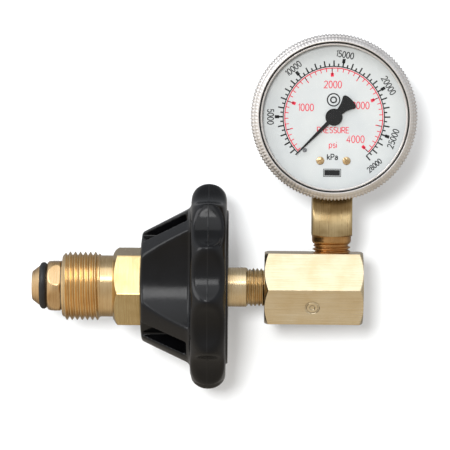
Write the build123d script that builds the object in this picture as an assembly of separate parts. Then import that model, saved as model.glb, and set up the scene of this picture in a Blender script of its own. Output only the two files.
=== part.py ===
"""Hand-tight gas cylinder connection with a pressure gauge, one STEP file per separate piece.

Millimetres. +X runs along the inlet nipple from its nose to the hexagonal body, +Z is up and
the gauge faces -Y. The origin is the centre of the flat end of the inlet nose.
"""
from build123d import *
from math import cos, radians, sin, sqrt, tan
import os

# Inlet nipple
TIP_R = 5.35
BORE_R = 2.5
CONE_END = 2.75
CONE_R = 7.2
GROOVE_R = 5.78
GROOVE_END = 5.4
COLLAR_END = 10.4
COLLAR_R = 9.6
COLLAR_FLATS = 17.46
SHANK_R = 7.05
SHANK_END = 77.2
FILTER_R = 3.2
FILTER_END = 8.5
RING_GROOVE = (0.7, 1.3)
RING_GROOVE_R = 3.5
O_RING_SECTION = 2.62

# Quarter inch taper pipe thread, used twice
PIPE_R = 6.86
PIPE_PITCH = 25.4 / 18
PIPE_DEPTH = 0.85
PIPE_ENGAGED_R = 6.2
PIPE_ENGAGED = 10.0

# Inlet nut and washer
NUT_FRONT = 10.9
NUT_THREAD_START = 11.3
NUT_THREAD_END = 24.5
NUT_THREAD_R = 24.51 / 2
NUT_PITCH = 25.4 / 14
NUT_THREAD_DEPTH = 1.1
NUT_NECK_R = 11.0
NUT_HEX_START = 29.1
NUT_HEX_END = 56.0
NUT_BORE_R = 7.15
NUT_TURN = 7.8
HEX_FLATS = 25.4
SPIGOT_R = 9.5
SPIGOT_END = 68.0
WASHER = (10.5, 11.5)
WASHER_R = 8.7
CLIP = (66.0, 67.2)
CLIP_GROOVE_R = 8.8
CLIP_R = 11.0

# Handwheel
WHEEL_FRONT = 38.1
WHEEL_SHOULDER = (39.4, 19.4)
WHEEL_CONE_END = (56.4, 28.3)
RIM_HALF = 6.3
RIM_CENTRE = (63.2, 31.0)
WHEEL_REAR = 70.2
REAR_DISC_R = 27.5
LOBES = 12
LOBE_TURN = 4.5
SCALLOP_R = 15.0
SCALLOP_DEEP_R = 33.6
FLUTE_R = 30.3
FLUTE_DEEP_R = 16.6
FLUTE_TURN = -10.5
POCKET_WIDTH = 8.0
POCKET_DEEP_R = 17.9
POCKET_END = 55.5
WHEEL_GRIPS = 3

# Hexagonal body
BODY_START = 83.2
BODY_END = 118.4
BODY_CHAMFER = 1.0
BODY_FACE_R = 12.9
PORT_X = 107.1
PORT_DEPTH = 12.0

# Gauge, placed about the stem; distances in the gauge are taken from its dial centre
GX = PORT_X
GZ = 61.4
SQUARE = 14.25
NECK_START = 15.8
SQUARE_START = 18.6
SQUARE_END = 36.0
HEAD_TOP = GZ - 12.4
HEAD_BACK = 8.0
SOCKET_BORE_R = 1.6
RESTRICTOR_LENGTH = 4.0
RESTRICTOR_HOLE_R = 0.3
BEZEL_FRONT = -18.0
BEZEL_BACK = -8.0
BEZEL_R = 29.5
BEZEL_LIP_R = 25.3
WINDOW_FRONT = -16.6
WINDOW_BACK = -14.6
CASE_FRONT = -13.6
CASE_BACK = 9.2
CASE_R = 27.8
CASE_WALL = 1.2
DIAL_FRONT = -12.0
DIAL_BACK = -11.5
DIAL_R = 26.2
POINTER_REST = 225.0
POINTER_TIP = 18.7
TAIL_R = 8.8
BLADE_LEVEL = (-13.4, -13.0)
POINTER_DISC_R = 3.0
HUB_R = 1.9
HUB_FLANGE_R = 2.6
HUB_LEVEL = (-13.9, -12.6)
SPINDLE_FRONT = -14.2
SPINDLE_R = 0.8
STOP_ANGLE = 229.1
STOP_R = 15.5
STOP_PIN_R = 0.45
POST_X = 4.65
POST_Z = -15.6
POST_R = 1.5
FIXING_R = 0.7
CASE_SCREW_X = 4.0
CASE_SCREW_Z = -22.0
CASE_SCREW_R = 1.2
FOOT_SCREWS_Z = (-14.2, -17.2)
PLUG_SPOT = (0, 14.0)
PLUG_R = 3.5
PLUG_LIP_R = 4.2
PLUG_HEAD_R = 4.6
PLUG_EDGE = 0.8

# Gauge movement
MODULE = 0.18
PINION_TEETH = 10
SECTOR_TEETH = 110
PINION_R = MODULE * PINION_TEETH / 2
SECTOR_R = MODULE * SECTOR_TEETH / 2
SECTOR_ANGLE = -15.0
SECTOR_SWING = 270.0 * PINION_TEETH / SECTOR_TEETH
TAIL_ARM = 4.5
LINK_LENGTH = 7.0
BOTTOM_PLATE = (-1.0, 0.0)
TOP_PLATE = (-8.5, -7.5)
SECTOR_LEVEL = (-3.6, -2.8)
LINK_LEVEL = (-4.5, -3.9)
PINION_LEVEL = (-4.2, -2.2)
LINK_PIN_FRONT = -4.8
LINK_PIN_R = 0.5
ARBOR_R = 1.0
ARBOR_PIVOT_R = 0.55
PIVOT_PLAY = 0.1
SPRING_LEVEL = (-6.4, -5.9)
SPRING_START_R = 1.4
SPRING_GROWTH = 2.65
SPRING_WIRE = 0.15
SPRING_TURNS = 3
SPRING_END_ANGLE = 196.0
SPRING_STEPS = 80
TUBE_R = 19.0
TUBE_Y = 4.0
TUBE_WIDTH = 6.0
TUBE_DEPTH = 3.2
TUBE_WALL = 0.9
TUBE_START = 255.0
TUBE_END = 10.0
PILLARS = ((-5.2, -1.5), (8.0, -11.0))


def turned(points, axis="X"):
    """A solid of revolution about the nipple (X), the gauge centre (Y) or the stem (Z).

    Each point is a distance along that axis and a radius from it.
    """
    if axis == "X":
        corners = [(a, r, 0) for a, r in points]
        about = Axis.X
    elif axis == "Y":
        corners = [(GX + r, a, GZ) for a, r in points]
        about = Axis((GX, 0, GZ), (0, 1, 0))
    else:
        corners = [(GX + r, 0, a) for a, r in points]
        about = Axis((GX, 0, 0), (0, 0, 1))
    outline = Polyline(*corners, close=True)
    return revolve(Face(Wire(outline.edges())), axis=about, revolution_arc=360)


def tube_x(start, end, outer, inner=0.0):
    """A ring, or a rod when inner is 0, along the nipple axis."""
    return turned([(start, inner), (end, inner), (end, outer), (start, outer)])


def disc(front, back, outer, inner=0.0, at=(0.0, 0.0)):
    """A ring or round rod along Y, placed by its distance from the dial centre."""
    solid = turned([(front, inner), (back, inner), (back, outer), (front, outer)], "Y")
    return Pos(at[0], 0, at[1]) * solid


def drill(start, end, radius):
    """A straight round hole between two points."""
    start = Vector(*start)
    end = Vector(*end)
    plane = Plane(origin=start, z_dir=end - start)
    return extrude(plane * Circle(radius), amount=(end - start).length)


def hex_bar(start, end, flats, turn=0.0):
    """A hexagonal bar along X with two corners towards +Y and -Y before it is turned."""
    outline = RegularPolygon(flats / sqrt(3), 6, rotation=turn)
    return extrude(Plane.YZ.offset(start) * outline, amount=end - start)


def flat_sheet(sketch, level):
    """A sketch in the dial plane made into a sheet between two Y levels."""
    plane = Plane(origin=(GX, level[1], GZ), x_dir=(1, 0, 0), z_dir=(0, -1, 0))
    return extrude(plane * sketch, amount=level[1] - level[0])


def polar(radius, angle):
    """A point in the dial plane, the angle counted anticlockwise from the right."""
    return (radius * cos(radians(angle)), radius * sin(radians(angle)))


def vee_rings(start, end, radius, pitch, depth, taper=0.0):
    """Profile points for V-shaped grooves between start and end, crests at the radius."""
    crest = pitch / 8
    count = int((end - start) / pitch)
    points = []
    for turn in range(count):
        a = start + turn * pitch
        r = radius - taper * (a - start)
        points += [(a, r), (a + crest, r), (a + pitch * 0.56, r - depth)]
    points.append((start + count * pitch, radius - taper * (end - start)))
    return points


def make_nipple():
    """The turned brass nipple with its hexagonal collar and pipe thread."""
    thread = vee_rings(SHANK_END + 0.6, BODY_START, PIPE_R, PIPE_PITCH, PIPE_DEPTH, 1 / 32)
    end = BODY_START + PIPE_ENGAGED
    profile = [(0, FILTER_R), (0, TIP_R - 0.35), (0.35, TIP_R), (CONE_END, CONE_R)]
    profile += [(CONE_END, GROOVE_R), (GROOVE_END, GROOVE_R), (GROOVE_END, SHANK_R)]
    profile += [(SHANK_END - 0.6, SHANK_R), (SHANK_END, SHANK_R - 0.6)]
    profile += [(SHANK_END + 0.3, SHANK_R - 1.0)] + thread
    profile += [(BODY_START, PIPE_ENGAGED_R), (end, PIPE_ENGAGED_R), (end, BORE_R)]
    profile += [(FILTER_END, BORE_R), (FILTER_END, FILTER_R)]
    nipple = turned(profile)
    collar = [(GROOVE_END, SHANK_R), (GROOVE_END, COLLAR_R - 1.5), (GROOVE_END + 0.9, COLLAR_R - 0.4)]
    collar += [(GROOVE_END + 1.8, COLLAR_R), (COLLAR_END - 1.2, COLLAR_R)]
    collar += [(COLLAR_END, COLLAR_R - 0.7), (COLLAR_END, SHANK_R)]
    nipple += turned(collar) & hex_bar(GROOVE_END, COLLAR_END, COLLAR_FLATS)
    return nipple - tube_x(RING_GROOVE[0], RING_GROOVE[1], RING_GROOVE_R)


def make_nose_o_ring():
    """The soft ring that seals the nose in a cylinder valve."""
    section = O_RING_SECTION / 2
    centre = (CONE_END + GROOVE_END) / 2
    ring = Torus(GROOVE_R + section, section)
    return Pos(centre, 0, 0) * Rot(0, 90, 0) * ring


def split_ring(start, end, inner, outer, gap, turn):
    """A flat ring along X with a gap of some degrees cut out of it."""
    ring = tube_x(start, end, outer, inner)
    reach = 2 * outer
    side = reach * tan(radians(gap / 2))
    wedge = Polyline((0, 0), (reach, side), (reach, -side), close=True)
    cutter = extrude(Plane.YZ.offset(start) * make_face(wedge), amount=end - start)
    return ring - Rot(turn, 0, 0) * cutter


def make_thrust_washer():
    """The loose washer between the collar and the nut."""
    return tube_x(WASHER[0], WASHER[1], WASHER_R, NUT_BORE_R)


def make_nut():
    """The brass inlet nut: thread, neck, hexagon and the spigot that carries the wheel clip."""
    corner = HEX_FLATS / sqrt(3)
    thread = vee_rings(NUT_THREAD_START, NUT_THREAD_END, NUT_THREAD_R, NUT_PITCH, NUT_THREAD_DEPTH)
    counterbore = WASHER[1] + 0.05
    counterbore_r = WASHER_R + 0.2
    profile = [(NUT_FRONT, counterbore_r), (NUT_FRONT, NUT_THREAD_R - 0.9)] + thread
    profile += [(NUT_THREAD_END, NUT_NECK_R), (NUT_HEX_START, NUT_NECK_R)]
    profile += [(NUT_HEX_START, NUT_BORE_R), (counterbore, NUT_BORE_R)]
    profile += [(counterbore, counterbore_r)]
    nut = turned(profile)
    hexagon = [(NUT_HEX_START, NUT_BORE_R), (NUT_HEX_START, corner - 2.86)]
    hexagon += [(NUT_HEX_START + 1.65, corner), (NUT_HEX_END, corner), (NUT_HEX_END, NUT_BORE_R)]
    nut += turned(hexagon) & hex_bar(NUT_HEX_START, NUT_HEX_END, HEX_FLATS, NUT_TURN)
    nut += tube_x(NUT_HEX_END, SPIGOT_END, SPIGOT_R, NUT_BORE_R)
    return nut - tube_x(CLIP[0], CLIP[1], SPIGOT_R + 1, CLIP_GROOVE_R)


def around(angle, solid):
    """Turn a solid made towards -Y about the nipple axis."""
    return Rot(angle, 0, 0) * solid


def make_handwheel():
    """The moulded wheel: scalloped rim, cone with three flutes and three core slots."""
    rim = []
    for step in range(13):
        turn = radians(step * 15)
        x = RIM_CENTRE[0] - RIM_HALF * cos(turn)
        rim.append((x, RIM_CENTRE[1] + RIM_HALF * sin(turn)))
    profile = [(WHEEL_FRONT, 0), (WHEEL_FRONT, 14), WHEEL_SHOULDER, WHEEL_CONE_END]
    profile += [(RIM_CENTRE[0] - RIM_HALF, WHEEL_CONE_END[1] + 0.5)] + rim
    profile += [(RIM_CENTRE[0] + RIM_HALF, REAR_DISC_R + 0.7), (WHEEL_REAR, REAR_DISC_R)]
    profile += [(WHEEL_REAR, 0)]
    wheel = turned(profile)
    length = WHEEL_REAR - WHEEL_FRONT
    scallop_y = -(SCALLOP_DEEP_R + SCALLOP_R)
    for lobe in range(LOBES):
        angle = LOBE_TURN + (lobe + 0.5) * 360 / LOBES
        cutter = Pos(RIM_CENTRE[0] - length / 2, scallop_y, 0) * Rot(0, 90, 0)
        cutter = cutter * Cylinder(SCALLOP_R, length, align=(Align.CENTER, Align.CENTER, Align.MIN))
        wheel -= around(angle, cutter)
    rim_front = RIM_CENTRE[0] - RIM_HALF
    flute_y = -(FLUTE_DEEP_R + FLUTE_R)
    for grip in range(WHEEL_GRIPS):
        angle = FLUTE_TURN + grip * 360 / WHEEL_GRIPS
        flute = Pos(WHEEL_FRONT - 1, flute_y, 0) * Rot(0, 90, 0)
        flute = flute * Cylinder(
            FLUTE_R, rim_front - WHEEL_FRONT + 1, align=(Align.CENTER, Align.CENTER, Align.MIN)
        )
        wheel -= around(angle, flute)
        slot = Pos(WHEEL_FRONT - 1, -POCKET_DEEP_R, 0) * Box(
            POCKET_END - WHEEL_FRONT + 1,
            2 * POCKET_DEEP_R,
            POCKET_WIDTH,
            align=(Align.MIN, Align.MAX, Align.CENTER),
        )
        wheel -= around(angle - 180 / WHEEL_GRIPS, slot)
    wheel -= hex_bar(WHEEL_FRONT - 1, NUT_HEX_END, HEX_FLATS, NUT_TURN)
    wheel -= tube_x(NUT_HEX_END, WHEEL_REAR, SPIGOT_R)
    return wheel - tube_x(CLIP[0], WHEEL_REAR, CLIP_R + 1.5)


def make_body():
    """The hexagonal brass body with an inlet port in its end and a gauge port in its top."""
    corner = HEX_FLATS / sqrt(3)
    profile = [(BODY_START, 0), (BODY_START, BODY_FACE_R), (BODY_START + BODY_CHAMFER, corner)]
    profile += [(BODY_END - BODY_CHAMFER, corner), (BODY_END, BODY_FACE_R), (BODY_END, 0)]
    body = turned(profile) & hex_bar(BODY_START, BODY_END, HEX_FLATS)
    body -= tube_x(BODY_START, BODY_START + PORT_DEPTH, PIPE_ENGAGED_R)
    top = HEX_FLATS / 2
    body -= drill((PORT_X, 0, top), (PORT_X, 0, top - PORT_DEPTH), PIPE_ENGAGED_R)
    return body - drill((BODY_START + PORT_DEPTH, 0, 0), (PORT_X + BORE_R, 0, 0), BORE_R)


def make_tube_path(outer):
    """The bent Bourdon tube, or the space inside it, as part of a ring about the dial centre."""
    shrink = 0.0 if outer else 2 * TUBE_WALL
    plane = Plane(origin=(GX + TUBE_R, TUBE_Y, GZ), x_dir=(0, 1, 0), z_dir=(0, 0, 1))
    section = plane * SlotOverall(TUBE_WIDTH - shrink, TUBE_DEPTH - shrink)
    turn = TUBE_START - TUBE_END
    about = Axis((GX, 0, GZ), (0, 1, 0))
    bent = revolve(section, axis=about, revolution_arc=turn)
    return bent.rotate(about, -TUBE_START)


def make_socket():
    """The gauge stem: pipe thread, round neck, square and the head inside the case."""
    top = HEX_FLATS / 2
    start = top - PIPE_ENGAGED
    profile = [(start, 0), (start, PIPE_ENGAGED_R), (top, PIPE_ENGAGED_R)]
    profile += vee_rings(top + 0.1, NECK_START, PIPE_R - 0.1, PIPE_PITCH, PIPE_DEPTH)
    profile += [(NECK_START, 6.2), (NECK_START + 0.5, 6.9), (NECK_START + 1.3, SQUARE / 2)]
    profile += [(SQUARE_START, SQUARE / 2), (SQUARE_START, 0)]
    socket = turned(profile, "Z")
    low = (Align.CENTER, Align.CENTER, Align.MIN)
    socket += Pos(GX, 0, SQUARE_START) * Box(SQUARE, SQUARE, SQUARE_END - SQUARE_START, align=low)
    head = Box(SQUARE, HEAD_BACK, HEAD_TOP - SQUARE_END, align=(Align.CENTER, Align.MIN, Align.MIN))
    socket += Pos(GX, 0, SQUARE_END) * head
    turn_z = SQUARE_END - 2
    tube_x_start = GX + TUBE_R * cos(radians(TUBE_START))
    tube_z = GZ + TUBE_R * sin(radians(TUBE_START))
    socket -= drill((GX, 0, start), (GX, 0, turn_z), SOCKET_BORE_R)
    socket -= drill((GX, 0, turn_z - 2), (GX, TUBE_Y + 0.6, turn_z - 2), 1.0)
    socket -= drill((GX, TUBE_Y, turn_z - 4), (GX, TUBE_Y, tube_z + 1.5), 1.2)
    socket -= drill((GX + 0.5, TUBE_Y, tube_z), (tube_x_start, TUBE_Y, tube_z), 0.8)
    return socket - make_tube_path(True)


def make_restrictor():
    """The small throttling plug pressed into the foot of the stem."""
    start = HEX_FLATS / 2 - PIPE_ENGAGED
    end = start + RESTRICTOR_LENGTH
    plug = drill((GX, 0, start), (GX, 0, end), SOCKET_BORE_R)
    return plug - drill((GX, 0, start), (GX, 0, end), RESTRICTOR_HOLE_R)


def sector_pivot():
    """Where the sector turns, from the dial centre."""
    return polar(PINION_R + SECTOR_R, SECTOR_ANGLE)


def tail_pin():
    """Where the link joins the sector at rest, from the dial centre."""
    pivot = sector_pivot()
    arm = polar(TAIL_ARM, SECTOR_ANGLE - SECTOR_SWING / 2)
    return (pivot[0] + arm[0], pivot[1] + arm[1])


def tip_pin():
    """Where the link joins the tube tip at rest, from the dial centre."""
    tail = tail_pin()
    link = polar(LINK_LENGTH, SECTOR_ANGLE + 90)
    return (tail[0] + link[0], tail[1] + link[1])


def make_tube_tip():
    """The block brazed to the free end of the tube, with a lug and a pin for the link."""
    pin = tip_pin()
    end = polar(TUBE_R, TUBE_END)
    width = end[0] + 1.2 - (pin[0] - 1.2)
    block = Pos(GX + pin[0] - 1.2, TUBE_Y - 2, GZ + pin[1] - 1.3)
    block = block * Box(width, 4, end[1] - pin[1] + 1.0, align=(Align.MIN, Align.MIN, Align.MIN))
    lug = Box(2.4, TUBE_Y - 2 + 3.4, 2.2, align=(Align.CENTER, Align.MIN, Align.CENTER))
    tip = block + Pos(GX + pin[0], -3.4, GZ + pin[1] - 0.2) * lug
    tip += disc(LINK_PIN_FRONT, -3.4, LINK_PIN_R, at=pin)
    return tip - make_tube_path(True)


def gear_outline(radius, teeth, first, last):
    """Straight-sided teeth between two angles, with the points at the gear's own rim only."""
    pitch = 360 / teeth
    points = []
    count = round((last - first) / pitch)
    for tooth in range(count):
        middle = first + (tooth + 0.5) * pitch
        points.append(polar(radius - 1.1 * MODULE, middle - 0.30 * pitch))
        points.append(polar(radius + 0.8 * MODULE, middle - 0.10 * pitch))
        points.append(polar(radius + 0.8 * MODULE, middle + 0.10 * pitch))
        points.append(polar(radius - 1.1 * MODULE, middle + 0.30 * pitch))
    return points


def make_sector_gear():
    """The toothed sector with its tail and the pin the link turns on."""
    pivot = sector_pivot()
    facing = SECTOR_ANGLE + 180
    pitch = 360 / SECTOR_TEETH
    first = facing - (round(SECTOR_SWING / pitch) + 2.5) * pitch
    last = facing + 2.5 * pitch
    teeth = gear_outline(SECTOR_R, SECTOR_TEETH, first, last)
    web = [polar(1.6, last + 60)] + [polar(1.6, first - 60)]
    fan = make_face(Polyline(*(web + teeth), close=True))
    fan += Circle(1.9)
    arm_angle = SECTOR_ANGLE - SECTOR_SWING / 2
    arm = Rot(0, 0, arm_angle) * Pos(TAIL_ARM / 2, 0) * SlotOverall(TAIL_ARM + 2.2, 2.2)
    fan += arm
    fan -= Circle(ARBOR_R)
    sector = flat_sheet(Pos(pivot[0], pivot[1]) * fan, SECTOR_LEVEL)
    return sector + disc(LINK_PIN_FRONT, SECTOR_LEVEL[1], LINK_PIN_R, at=tail_pin())


def make_sector_arbor():
    """The steel arbor of the sector, with a thinner pivot at each end."""
    pivot = sector_pivot()
    arbor = disc(TOP_PLATE[1] + 2 * PIVOT_PLAY, BOTTOM_PLATE[0] - 2 * PIVOT_PLAY, ARBOR_R, at=pivot)
    ends = (TOP_PLATE[0] + PIVOT_PLAY, BOTTOM_PLATE[1] - PIVOT_PLAY)
    return arbor + disc(ends[0], ends[1], ARBOR_PIVOT_R, at=pivot)


def make_link():
    """The flat link between the tube tip and the sector tail."""
    tail = tail_pin()
    pin = tip_pin()
    middle = ((tail[0] + pin[0]) / 2, (tail[1] + pin[1]) / 2)
    bar = Pos(*middle) * Rot(0, 0, SECTOR_ANGLE + 90) * SlotOverall(LINK_LENGTH + 2.2, 2.2)
    bar -= Pos(*tail) * Circle(0.55)
    bar -= Pos(*pin) * Circle(0.7)
    return flat_sheet(bar, LINK_LEVEL)


def make_pinion_spindle():
    """The spindle that carries the pointer, with the pinion cut in it."""
    spindle = disc(SPINDLE_FRONT, PINION_LEVEL[0], SPINDLE_R)
    teeth = gear_outline(PINION_R, PINION_TEETH, SECTOR_ANGLE, SECTOR_ANGLE + 360)
    spindle += flat_sheet(make_face(Polyline(*teeth, close=True)), PINION_LEVEL)
    return spindle + disc(PINION_LEVEL[1], BOTTOM_PLATE[1] - PIVOT_PLAY, 0.5)


def make_hairspring():
    """The flat spiral that keeps the gear teeth against one another."""
    inner = []
    outer = []
    for step in range(SPRING_STEPS + 1):
        share = step / SPRING_STEPS
        angle = SPRING_END_ANGLE - 360 * SPRING_TURNS * (1 - share)
        radius = SPRING_START_R + SPRING_GROWTH * share
        inner.append(polar(radius, angle))
        outer.append(polar(radius + SPRING_WIRE, angle))
    spiral = make_face(Polyline(*(inner + outer[::-1]), close=True))
    return flat_sheet(spiral, SPRING_LEVEL)


def make_plate(level, foot):
    """One movement plate; the bottom one has a foot that is screwed to the stem head."""
    pivot = sector_pivot()
    pads = [Circle(3.6), Pos(*pivot) * Circle(2.6)]
    pads += [Pos(*spot) * Circle(2.2) for spot in PILLARS]
    outline = Sketch() + pads
    plate = make_hull(outline.edges())
    if foot:
        plate += Pos(0, -14) * Rectangle(5.6, 10)
    plate -= Circle(0.85 if not foot else 0.55)
    plate -= Pos(*pivot) * Circle(0.6)
    for spot in PILLARS:
        plate -= Pos(*spot) * Circle(0.6)
    if foot:
        for z in FOOT_SCREWS_Z:
            plate -= Pos(0, z) * Circle(0.8)
    return flat_sheet(plate, level)


def screw(spot, seat, head_r, head_height, shank_r, length, towards=1):
    """A slotted screw along Y; the head lies on the far side of the seat from its shank."""
    face = seat - towards * head_height
    ends = sorted((face, seat))
    solid = disc(ends[0], ends[1], head_r, at=spot)
    ends = sorted((seat, seat + towards * length))
    solid += disc(ends[0], ends[1], shank_r, at=spot)
    slot = Box(2.4 * head_r, 0.7 * head_height, 0.25 * head_r)
    return solid - Pos(GX + spot[0], face, GZ + spot[1]) * slot


def make_pointer_blade():
    """The stamped pointer: a tapering blade and a fan-shaped counterweight."""
    blade = [polar(0.8, -90), (POINTER_TIP, -0.2), (POINTER_TIP + 0.2, 0), (POINTER_TIP, 0.2)]
    blade += [polar(0.8, 90)]
    side = [(0.8, 90), (3.4, 158), (5.0, 161), (6.5, 160), (7.8, 158), (8.3, 159), (8.65, 161.5)]
    end = [(TAIL_R, 165 + 3 * step) for step in range(11)]
    fan = side + end + [(radius, 360 - angle) for radius, angle in reversed(side)]
    outline = make_face(Polyline(*blade, close=True))
    outline += make_face(Polyline(*[polar(*place) for place in fan], close=True))
    outline += Circle(POINTER_DISC_R)
    outline -= Circle(HUB_R)
    return flat_sheet(Rot(0, 0, POINTER_REST) * outline, BLADE_LEVEL)


def make_pointer_hub():
    """The turned hub the blade is staked on and the spindle is pressed into."""
    hub = disc(HUB_LEVEL[0], HUB_LEVEL[1], HUB_R, SPINDLE_R)
    return hub + disc(BLADE_LEVEL[1], HUB_LEVEL[1], HUB_FLANGE_R, SPINDLE_R)


def make_stop_pin():
    """The pin in the dial that the pointer rests near at zero."""
    spot = polar(STOP_R, STOP_ANGLE)
    pin = disc(HUB_LEVEL[0], DIAL_BACK, STOP_PIN_R, at=spot)
    return pin + disc(DIAL_FRONT - 0.3, DIAL_FRONT, 0.8, at=spot)


def make_dial():
    """The printed dial sheet with holes for the spindle, the stop pin and two screws."""
    dial = disc(DIAL_FRONT, DIAL_BACK, DIAL_R, 1.6)
    dial -= disc(DIAL_FRONT, DIAL_BACK, STOP_PIN_R, at=polar(STOP_R, STOP_ANGLE))
    for side in (-1, 1):
        dial -= disc(DIAL_FRONT, DIAL_BACK, FIXING_R, at=(side * POST_X, POST_Z))
    return dial


def make_posts():
    """The two posts between the stem head and the dial."""
    posts = []
    for side in (-1, 1):
        spot = (side * POST_X, POST_Z)
        post = disc(DIAL_BACK, BOTTOM_PLATE[1], POST_R, at=spot)
        posts.append(post - disc(DIAL_BACK, DIAL_BACK + 4, FIXING_R, at=spot))
    return Compound(children=posts)


def make_case():
    """The drawn cup of the gauge with a square opening for the stem."""
    inner = CASE_R - CASE_WALL
    profile = [(CASE_FRONT, inner), (CASE_FRONT, CASE_R), (CASE_BACK - 2.0, CASE_R)]
    profile += [(CASE_BACK - 0.6, CASE_R - 0.6), (CASE_BACK, CASE_R - 2.0), (CASE_BACK, 0)]
    profile += [(HEAD_BACK, 0), (HEAD_BACK, inner)]
    case = turned(profile, "Y")
    case -= Pos(GX, 0, GZ - CASE_R) * Box(SQUARE, SQUARE, 12)
    for side in (-1, 1):
        spot = (side * CASE_SCREW_X, CASE_SCREW_Z)
        case -= disc(HEAD_BACK, CASE_BACK, CASE_SCREW_R, at=spot)
    return case - disc(HEAD_BACK, CASE_BACK, PLUG_R, at=PLUG_SPOT)


def make_bezel():
    """The screwed ring that holds the window against the front of the case."""
    profile = [(BEZEL_FRONT, BEZEL_LIP_R + 0.4), (BEZEL_FRONT, 27.0), (BEZEL_FRONT + 0.8, 27.2)]
    profile += [(BEZEL_FRONT + 0.8, 28.6), (BEZEL_FRONT + 1.8, BEZEL_R), (BEZEL_BACK, BEZEL_R)]
    profile += [(BEZEL_BACK, CASE_R), (WINDOW_FRONT, CASE_R), (WINDOW_FRONT, BEZEL_LIP_R)]
    profile += [(BEZEL_FRONT + 0.4, BEZEL_LIP_R)]
    return turned(profile, "Y")


def group(solids):
    """Several separate solids kept as one node."""
    return Compound(children=list(solids))


os.makedirs("parts", exist_ok=True)

case_spots = [(side * CASE_SCREW_X, CASE_SCREW_Z) for side in (-1, 1)]
post_spots = [(side * POST_X, POST_Z) for side in (-1, 1)]
foot_spots = [(0, z) for z in FOOT_SCREWS_Z]
screws_case = [screw(spot, CASE_BACK, 2.2, 1.0, CASE_SCREW_R, 4.5, -1) for spot in case_spots]
screws_dial = [screw(spot, DIAL_FRONT, 1.45, 0.7, FIXING_R, 3.5) for spot in post_spots]
screws_movement = [screw(spot, BOTTOM_PLATE[0], 1.5, 0.8, 0.8, 3.5) for spot in foot_spots]
screws_plate = [screw(spot, TOP_PLATE[0], 1.2, 0.7, 0.6, 3.5) for spot in PILLARS]

gauge_socket = make_socket()
for solid in screws_case + screws_movement:
    gauge_socket -= solid

pillars = []
for spot, fixing in zip(PILLARS, screws_plate):
    pillars.append(disc(TOP_PLATE[1], BOTTOM_PLATE[0], 1.2, at=spot) - fixing)

bottom_plate = make_plate(BOTTOM_PLATE, True)
for spot in PILLARS:
    bottom_plate += disc(BOTTOM_PLATE[0], BOTTOM_PLATE[1], 0.6, at=spot)

plug = disc(HEAD_BACK - PLUG_EDGE, CASE_BACK + PLUG_EDGE, PLUG_R, at=PLUG_SPOT)
plug += disc(CASE_BACK, CASE_BACK + PLUG_EDGE, PLUG_HEAD_R, at=PLUG_SPOT)
plug += disc(HEAD_BACK - PLUG_EDGE, HEAD_BACK, PLUG_LIP_R, at=PLUG_SPOT)

nodes = {
    "inlet_nipple": make_nipple(),
    "nose_o_ring": make_nose_o_ring(),
    "inlet_filter": tube_x(RING_GROOVE[1], FILTER_END, FILTER_R),
    "filter_retaining_ring": split_ring(*RING_GROOVE, 2.6, RING_GROOVE_R, 50, 90),
    "thrust_washer": make_thrust_washer(),
    "inlet_nut": make_nut(),
    "handwheel": make_handwheel(),
    "wheel_retaining_ring": split_ring(*CLIP, CLIP_GROOVE_R, CLIP_R, 60, 90),
    "elbow_body": make_body(),
    "gauge_socket": gauge_socket,
    "socket_restrictor": make_restrictor(),
    "bourdon_tube": make_tube_path(True) - make_tube_path(False),
    "tube_tip": make_tube_tip(),
    "link": make_link(),
    "sector_gear": make_sector_gear(),
    "sector_arbor": make_sector_arbor(),
    "pinion_spindle": make_pinion_spindle(),
    "hairspring": make_hairspring(),
    "hairspring_collet": disc(-6.6, -5.7, SPRING_START_R, SPINDLE_R),
    "movement_bottom_plate": bottom_plate,
    "movement_top_plate": make_plate(TOP_PLATE, False),
    "movement_pillars": group(pillars),
    "plate_screws": group(screws_plate),
    "movement_screws": group(screws_movement),
    "dial_posts": make_posts(),
    "dial": make_dial(),
    "dial_screws": group(screws_dial),
    "stop_pin": make_stop_pin(),
    "pointer_blade": make_pointer_blade(),
    "pointer_hub": make_pointer_hub(),
    "gauge_case": make_case(),
    "case_screws": group(screws_case),
    "blowout_plug": plug,
    "bezel_ring": make_bezel(),
    "window": disc(WINDOW_FRONT, WINDOW_BACK, CASE_R - 0.6),
    "window_gasket": disc(WINDOW_BACK, CASE_FRONT, CASE_R - 0.2, BEZEL_LIP_R + 0.4),
}

for name, solid in nodes.items():
    export_step(solid, f"parts/{name}.step")
    print(name, round(solid.volume, 2))
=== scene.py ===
"""Looks of a hand-tight gas cylinder connection with a pressure gauge, built over its CAD frame.

Metres. +X runs along the inlet nipple, +Z is up and the gauge faces -Y, as in the CAD model.
Sizes are written in millimetres and scaled by MM where a mesh is made.
"""
import math

import bmesh
import bpy
import numpy as np
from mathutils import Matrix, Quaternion, Vector


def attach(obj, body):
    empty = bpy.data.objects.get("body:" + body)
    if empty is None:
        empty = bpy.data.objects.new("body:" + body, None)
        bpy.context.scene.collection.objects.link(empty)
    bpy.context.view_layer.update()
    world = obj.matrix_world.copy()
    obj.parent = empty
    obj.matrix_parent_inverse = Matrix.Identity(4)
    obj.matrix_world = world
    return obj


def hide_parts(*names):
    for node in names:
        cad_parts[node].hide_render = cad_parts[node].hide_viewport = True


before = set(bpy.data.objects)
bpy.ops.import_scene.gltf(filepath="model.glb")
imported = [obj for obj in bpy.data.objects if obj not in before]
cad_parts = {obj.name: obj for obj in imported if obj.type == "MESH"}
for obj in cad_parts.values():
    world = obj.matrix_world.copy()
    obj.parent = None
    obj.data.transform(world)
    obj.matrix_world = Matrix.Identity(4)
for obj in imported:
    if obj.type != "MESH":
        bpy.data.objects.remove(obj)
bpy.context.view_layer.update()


# The inlet nipple is turned from brass bar: a nose with a ring groove, a hexagonal collar, a long
# plain shank and a tapered pipe thread that is screwed into the body.
MM = 0.001
HELD = "nipple_and_gauge"


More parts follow.
